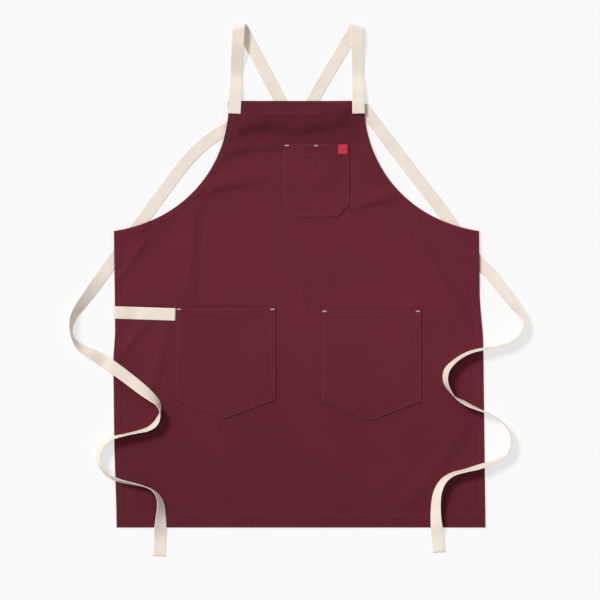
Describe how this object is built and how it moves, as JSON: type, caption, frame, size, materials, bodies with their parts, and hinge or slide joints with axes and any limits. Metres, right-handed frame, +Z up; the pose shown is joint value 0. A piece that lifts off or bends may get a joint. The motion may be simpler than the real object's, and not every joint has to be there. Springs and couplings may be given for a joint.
{
  "type": "cross back apron",
  "caption": "Twill bib apron laid flat, with patch pockets, towel loop, bare label tag and webbing straps that fold at the shoulders, cross behind the bib and end in ties.",
  "frame": {"origin": "on the underside of the panel, where it lies on the surface, on its middle line", "axes": "+X to the right across the apron as it lies front up, +Y from the hem to the bib, +Z up out of its front"},
  "size_m": [0.9101, 1.0652, 0.029],
  "materials": {
    "twill": "burgundy cotton twill, matt",
    "webbing": "natural cotton webbing, woven",
    "tag": "red woven label, bare"
  },
  "bodies": {
    "root": {"body_panel": "twill", "chest_pocket": "twill", "pocket_left": "twill", "pocket_right": "twill", "strap_keeper_left": "twill", "strap_keeper_right": "twill", "label_tag": "tag", "towel_loop": "webbing", "strap_left": "webbing", "strap_right": "webbing"}
  },
  "joints": []
}
